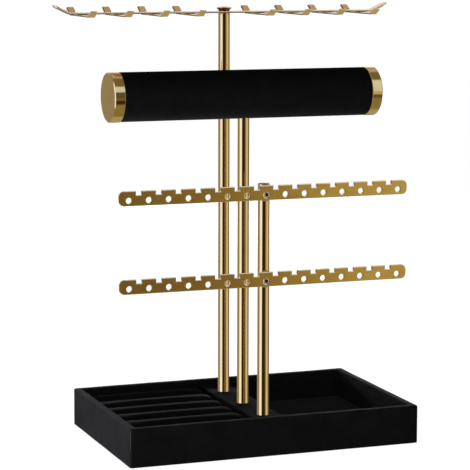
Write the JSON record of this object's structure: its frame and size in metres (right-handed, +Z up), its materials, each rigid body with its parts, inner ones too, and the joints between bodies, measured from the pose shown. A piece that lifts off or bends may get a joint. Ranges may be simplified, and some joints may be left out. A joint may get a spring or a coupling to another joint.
{
  "type": "jewelry stand",
  "caption": "Velvet tray with ring rolls and an open compartment under three posts that carry a hooked necklace bar, a bracelet roller and pierced earring bars.",
  "frame": {"origin": "middle of the tray's underside, on the surface that the stand rests on", "axes": "+X to the right along the bars, +Y from the earring bars to the necklace bar, +Z up"},
  "size_m": [0.37, 0.2027, 0.4473],
  "materials": {
    "black_velvet": "matte",
    "ring_pad_velvet": "matte",
    "felt": "matte",
    "board": "matte",
    "paper_tube": "matte",
    "polished_brass": "polished",
    "brushed_brass": "satin",
    "fixing_steel": "satin",
    "dark_screw": "satin",
    "dark_plug": "matte"
  },
  "bodies": {
    "base": {"front_wall_board": "board", "right_wall_board": "board", "back_wall_board": "board", "left_wall_board": "board", "tray_velvet": "black_velvet", "bottom_board": "board", "felt_underside": "felt", "platform_block": "board", "platform_velvet": "black_velvet", "compartment_liner": "black_velvet", "rear_post": "polished_brass", "middle_post": "polished_brass", "front_post": "polished_brass", "post_foot_plugs": "fixing_steel", "rear_post_plug": "fixing_steel", "middle_post_plug": "fixing_steel", "middle_post_stud": "fixing_steel", "front_post_cap": "dark_plug", "base_screws": "fixing_steel", "ring_pad_board": "board", "upper_bar_screw": "dark_screw", "lower_bar_screw": "dark_screw", "front_post_slugs": "fixing_steel", "ring_roll_1": "ring_pad_velvet", "ring_roll_2": "ring_pad_velvet", "ring_roll_3": "ring_pad_velvet", "ring_roll_4": "ring_pad_velvet", "ring_roll_5": "ring_pad_velvet", "ring_roll_6": "ring_pad_velvet"},
    "necklace_holder": {"necklace_bar": "brushed_brass"},
    "finial": {"finial_screw": "polished_brass"},
    "roller": {"roller_core": "paper_tube", "roller_velvet": "black_velvet", "roller_cap_left": "polished_brass", "roller_cap_right": "polished_brass", "roller_hub": "board", "roller_nut": "fixing_steel"},
    "upper_bar": {"upper_earring_bar": "brushed_brass"},
    "lower_bar": {"lower_earring_bar": "brushed_brass"}
  },
  "joints": [
    {"name": "necklace_bar_turn", "type": "hinge", "parent": "base", "child": "necklace_holder", "pos_m": [0, 0.0585, 0.43805], "axis": [0, 0, 1], "continuous": true},
    {"name": "finial_turn", "type": "hinge", "parent": "base", "child": "finial", "pos_m": [0, 0.0585, 0.4391], "axis": [0, 0, 1], "continuous": true},
    {"name": "roller_turn", "type": "hinge", "parent": "base", "child": "roller", "pos_m": [0, 0, 0.3564], "axis": [0, 0, 1], "range_deg": [-55, 55]},
    {"name": "upper_bar_tilt", "type": "hinge", "parent": "base", "child": "upper_bar", "pos_m": [0, -0.06525, 0.2603], "axis": [0, -1, 0], "range_deg": [-12, 12]},
    {"name": "lower_bar_tilt", "type": "hinge", "parent": "base", "child": "lower_bar", "pos_m": [0, -0.06525, 0.1727], "axis": [0, -1, 0], "range_deg": [-12, 12]}
  ]
}
